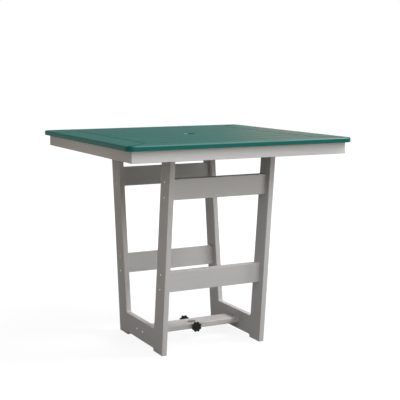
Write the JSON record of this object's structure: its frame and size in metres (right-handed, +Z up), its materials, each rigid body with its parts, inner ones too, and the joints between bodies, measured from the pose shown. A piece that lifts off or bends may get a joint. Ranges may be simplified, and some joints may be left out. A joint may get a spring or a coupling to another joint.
{
  "type": "bar table",
  "caption": "Square bar-height patio table: framed board top with an umbrella hole, leaning leg frames, rails, and a stretcher that clamps the pole's foot.",
  "frame": {"origin": "on the floor, below the middle of the top", "axes": "+X along the rails, +Y from front to rear, +Z up"},
  "size_m": [1.118, 1.118, 1],
  "materials": {
    "top_boards": "dark green plastic board, fine brushed grain",
    "base_boards": "light grey plastic board, satin",
    "knobs": "black moulded plastic",
    "screws": "stainless steel",
    "studs": "zinc plated steel",
    "inserts": "turned brass"
  },
  "bodies": {
    "table": {"apron_front": "base_boards", "apron_left": "base_boards", "apron_rear": "base_boards", "apron_right": "base_boards", "corner_block_front_left": "base_boards", "corner_block_front_right": "base_boards", "corner_block_rear_left": "base_boards", "corner_block_rear_right": "base_boards", "end_batten_left": "base_boards", "end_batten_right": "base_boards", "infill_board_1": "top_boards", "infill_board_2": "top_boards", "infill_board_3": "top_boards", "infill_board_4": "top_boards", "infill_board_5": "top_boards", "infill_board_6": "top_boards", "infill_board_7": "top_boards", "leg_cleat_left": "base_boards", "leg_cleat_right": "base_boards", "leg_frame_left": "base_boards", "leg_frame_right": "base_boards", "leg_screws": "screws", "mid_rail_front": "base_boards", "mid_rail_rear": "base_boards", "rail_screws_left": "screws", "rail_screws_right": "screws", "stretcher": "base_boards", "stretcher_screws": "screws", "thread_insert_front": "inserts", "thread_insert_rear": "inserts", "top_frame_front": "top_boards", "top_frame_left": "top_boards", "top_frame_rear": "top_boards", "top_frame_right": "top_boards", "upper_rail_front": "base_boards", "upper_rail_rear": "base_boards"},
    "front_stud": {"clamp_stud_front": "studs"},
    "front_knob": {"clamp_knob_front": "knobs"},
    "rear_stud": {"clamp_stud_rear": "studs"},
    "rear_knob": {"clamp_knob_rear": "knobs"}
  },
  "joints": [
    {"name": "front_stud_travel", "type": "slide", "parent": "table", "child": "front_stud", "axis": [0, 1, 0], "range_m": [-0.0113, 0.0071]},
    {"name": "front_knob_turn", "type": "hinge", "parent": "front_stud", "child": "front_knob", "pos_m": [0, -0.0675, 0.0597], "axis": [0, 1, 0], "range_deg": [-2880, 1800]},
    {"name": "rear_stud_travel", "type": "slide", "parent": "table", "child": "rear_stud", "axis": [0, -1, 0], "range_m": [-0.0113, 0.0071]},
    {"name": "rear_knob_turn", "type": "hinge", "parent": "rear_stud", "child": "rear_knob", "pos_m": [0, 0.0675, 0.0597], "axis": [0, -1, 0], "range_deg": [-2880, 1800]}
  ],
  "couplings": [
    {"joint": "front_stud_travel", "follows": "front_knob_turn", "m_per_rad": 0.00022459},
    {"joint": "rear_stud_travel", "follows": "rear_knob_turn", "m_per_rad": 0.00022459}
  ]
}
